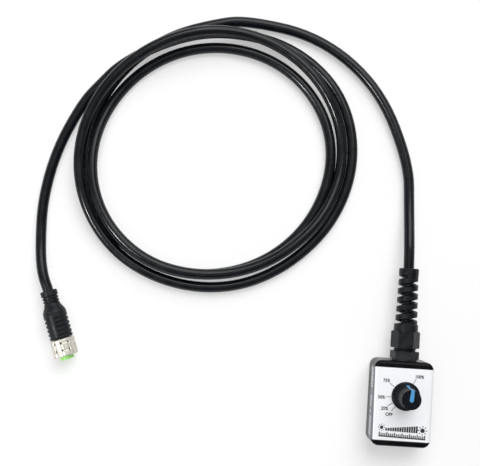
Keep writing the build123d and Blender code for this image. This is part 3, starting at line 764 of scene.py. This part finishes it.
BARS, BARS_Y, BARS_FROM, BARS_SPAN = 14, -16.1, -8.9, 17.9
BAR_W, BAR_SHORT, BAR_GROWS = 1.1, 1.5, 2.5
RULES, RULES_Y, RULES_FROM, RULES_TO = 25, -19.2, -12.8, 14.0
RULE_W, RULE_LONG, RULE_SHORT = 0.68, 2.2, 1.6
SCALE_LEAN, SCALE_MIDDLE = radians(-1.5), np.array([0.7, -15.8])


def upright(x, low, high, width):
    """Upright strips at each x from one height to another, all of one width."""
    x = np.asarray(x)
    return np.stack([x, x * 0 + low, x, x * 0 + high, x * 0 + width], -1)


def add_scale_print():
    """Two lines below the dial, leaning a little: a small sun, bars that grow and a large sun,
    and a ruled scale on a base line."""
    parts = sun((-11.7, -14.4), 1.05, 0.6) + sun((12.4, -14.3), 1.35, 0.75)
    rise = np.linspace(0, 1, BARS)
    tops = BARS_Y + BAR_SHORT + BAR_GROWS * rise
    parts.append(flat_strips(upright(BARS_FROM + rise * BARS_SPAN, BARS_Y, tops, BAR_W)))
    x = np.linspace(RULES_FROM, RULES_TO, RULES)
    tops = RULES_Y + np.where(np.arange(RULES) % 4 == 0, RULE_LONG, RULE_SHORT)
    parts.append(flat_strips(upright(x, RULES_Y, tops, RULE_W)))
    base = (RULES_FROM - RULE_W / 2, RULES_Y - 0.2, RULES_TO + RULE_W / 2, RULES_Y - 0.2, 0.75)
    parts.append(flat_strips([base]))
    points, faces = gather(parts)
    c, s = cos(SCALE_LEAN), sin(SCALE_LEAN)
    points = (points - SCALE_MIDDLE) @ np.array([[c, s], [-s, c]]) + SCALE_MIDDLE
    points, faces = raised(points, faces, PRINT_LOW, PRINT_HIGH)
    add_mesh("scale_print", points, faces, ink, smooth=False)


MARKS_LOW, MARKS_HIGH, MARKS_LEAN = 11.0, 17.2, 0.9  # heights above the back, and a shift


def add_side_print():
    """Pale ruled marks on the grey left side: a row of ticks, two bars and a slanting row."""
    ticks = np.arange(9.0, 20.0, 1.3)
    tops = 15.2 + 1.8 * (np.arange(len(ticks)) % 3 == 0)
    bars = [(3.6, 13.6, -3.2, 13.6, 2.4), (-4.8, 13.6, -6.8, 13.6, 2.4)]
    slanting = upright(np.arange(-8.8, -19.0, -1.9), MARKS_LOW, MARKS_HIGH, 0.9)
    slanting[:, 2] -= MARKS_LEAN
    points, faces = flat_strips(np.vstack([upright(ticks, MARKS_LOW, tops, 0.85), bars, slanting]))
    flat, faces = raised(points, faces, -0.01, 0.02)
    points = np.stack([-CASE_W / 2 - FILM_T - flat[:, 2], flat[:, 0], flat[:, 1]], -1)
    add_mesh("side_print", points, [f[::-1] for f in faces], pale_ink, smooth=False)


add_dial_print()
add_scale_print()
add_side_print()


# Floor, world and lamps

SHEET_SHADE, SHEET_GLOW, SHEET_HALF = 0.76, 0.20, 3
FADE_FROM, FADE_TO, FADE_GLOW = 0.34, 0.80, 0.9
OVERHEAD = (-0.16, 0.20, 0.967)
WALL_LIGHT, PANEL_LIGHT = 0.17, 0.62
KEY_AT, KEY_AIM, KEY_SIZE, KEY_WATTS = (0.22, 1.05, 1.15), (-0.08, 0.08, 0.0), 1.3, 17.0
STRIP_AT, STRIP_AIM, STRIP_SIZE, STRIP_WATTS = (-0.80, -0.35, 0.95), (-0.11, 0.10, 0.0), 0.12, 7.0


def add_floor():
    """Plain white sheet that keeps the part's shadow. It glows a little where the camera or a
    reflection sees it, and for the camera the glow grows to white further away."""
    material = bpy.data.materials.new("floor_sheet")
    material.use_nodes = True
    tree = material.node_tree
    tree.nodes.clear()
    out = tree.nodes.new("ShaderNodeOutputMaterial")
    sheet = tree.nodes.new("ShaderNodeBsdfDiffuse")
    sheet.inputs["Color"].default_value = (SHEET_SHADE, SHEET_SHADE, SHEET_SHADE, 1)
    glow = tree.nodes.new("ShaderNodeEmission")
    ray = tree.nodes.new("ShaderNodeLightPath")
    seen = math_node(tree, "MAXIMUM", ray.outputs["Is Camera Ray"], ray.outputs["Is Glossy Ray"])
    seen = math_node(tree, "MAXIMUM", seen, ray.outputs["Is Transmission Ray"])
    where = tree.nodes.new("ShaderNodeTexCoord")
    away = tree.nodes.new("ShaderNodeVectorMath")
    away.operation = "LENGTH"
    tree.links.new(where.outputs["Object"], away.inputs[0])
    far = ramp(tree, away.outputs["Value"], FADE_FROM, FADE_TO, 0.0, FADE_GLOW)
    far = math_node(tree, "MULTIPLY", far, ray.outputs["Is Camera Ray"])
    tree.links.new(math_node(tree, "MULTIPLY_ADD", seen, SHEET_GLOW, far), glow.inputs["Strength"])
    both = tree.nodes.new("ShaderNodeAddShader")
    tree.links.new(sheet.outputs[0], both.inputs[0])
    tree.links.new(glow.outputs[0], both.inputs[1])
    tree.links.new(both.outputs[0], out.inputs["Surface"])
    mesh = bpy.data.meshes.new("floor")
    half = SHEET_HALF
    corners = [(-half, -half, 0), (half, -half, 0), (half, half, 0), (-half, half, 0)]
    mesh.from_pydata(corners, [], [(0, 1, 2, 3)])
    mesh.materials.append(material)
    floor = bpy.data.objects.new("floor", mesh)
    scene.collection.objects.link(floor)


def light_world():
    """A studio round the part: a wide soft light overhead, dimmer walls, and white towards the
    floor's edge. What the camera sees of it is plain white."""
    world = bpy.data.worlds.new("surroundings")
    scene.world = world
    world.use_nodes = True
    tree = world.node_tree
    back = tree.nodes["Background"]
    back.inputs["Color"].default_value = (0.985, 0.99, 1.0, 1)
    way = tree.nodes.new("ShaderNodeTexCoord")
    lean = tree.nodes.new("ShaderNodeVectorMath")
    lean.operation = "DOT_PRODUCT"
    lean.inputs[1].default_value = OVERHEAD
    tree.links.new(way.outputs["Generated"], lean.inputs[0])
    split = tree.nodes.new("ShaderNodeSeparateXYZ")
    tree.links.new(way.outputs["Generated"], split.inputs[0])
    panel = ramp(tree, lean.outputs["Value"], 0.78, 0.93, WALL_LIGHT, PANEL_LIGHT)
    edge = ramp(tree, split.outputs["Z"], 0.12, 0.36, 1.0, 0.0)
    light = math_node(tree, "MAXIMUM", panel, edge)
    ray = tree.nodes.new("ShaderNodeLightPath")
    light = math_node(tree, "MAXIMUM", light, ray.outputs["Is Camera Ray"])
    tree.links.new(light, back.inputs["Strength"])


add_floor()
light_world()
add_lamp("key", KEY_AT, KEY_AIM, KEY_SIZE, KEY_WATTS)
add_lamp("strip", STRIP_AT, STRIP_AIM, STRIP_SIZE, STRIP_WATTS, shadow=False)
scene.view_settings.view_transform = "Standard"
